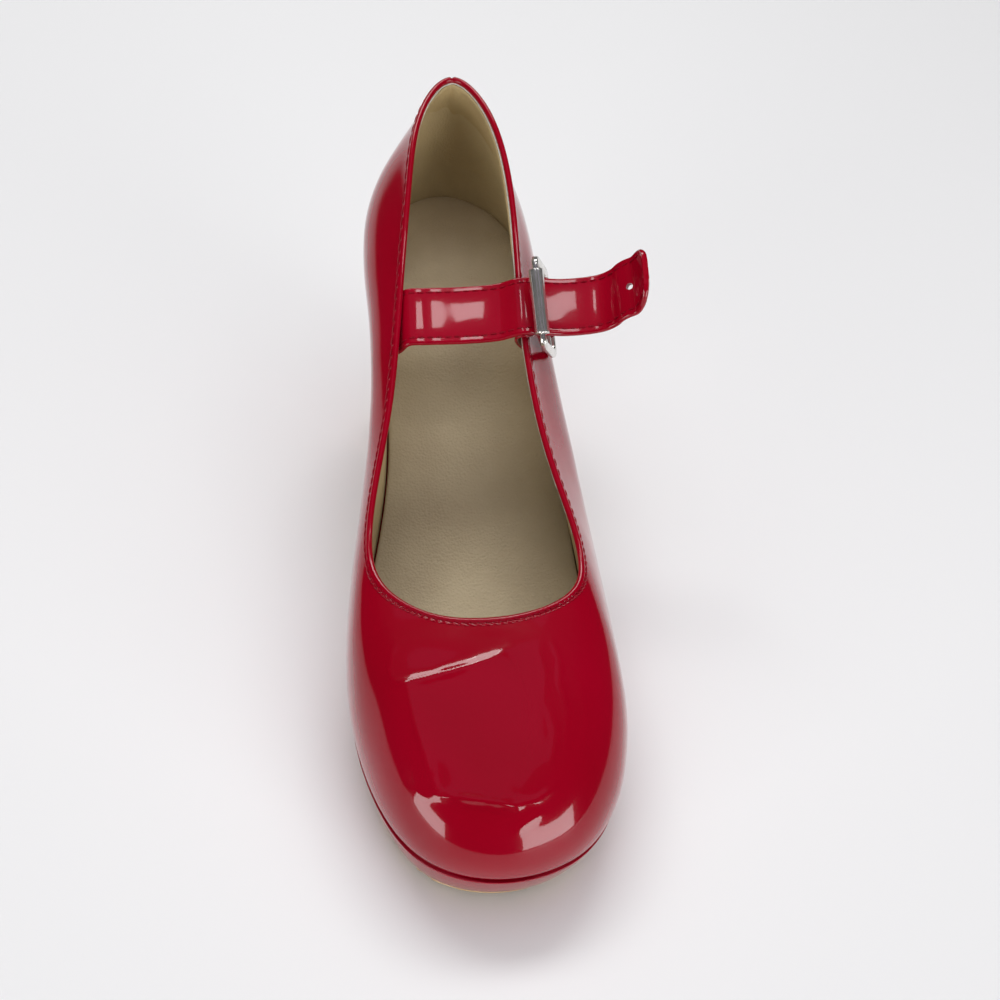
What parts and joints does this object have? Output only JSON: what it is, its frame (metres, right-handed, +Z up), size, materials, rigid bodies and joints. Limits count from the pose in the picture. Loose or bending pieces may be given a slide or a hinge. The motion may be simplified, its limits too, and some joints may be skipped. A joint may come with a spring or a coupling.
{
  "type": "mary jane shoe",
  "caption": "Left mary jane shoe with a round closed toe, deep throat, buckled instep strap, covered platform sole and covered block heel, standing empty.",
  "frame": {"origin": "centre of the heel's bottom face, on the floor", "axes": "+Z up, +Y from the toe towards the back of the heel, +X towards the outer side of the left foot"},
  "size_m": [0.0962, 0.2445, 0.1344],
  "materials": {
    "patent": "high-gloss red patent leather",
    "lining": "matte beige backed lining",
    "sock": "matte grained beige-olive sock",
    "rubber": "matte tan rubber",
    "steel": "polished nickel-plated steel",
    "thread": "red sewing thread"
  },
  "bodies": {
    "root": {"upper": "patent", "platform_sole": "patent", "outsole": "rubber", "heel": "patent", "top_lift": "rubber", "insole": "sock", "strap": "patent", "buckle_tab": "patent", "buckle_frame": "steel", "buckle_roller": "steel", "buckle_prong": "steel"}
  },
  "joints": []
}
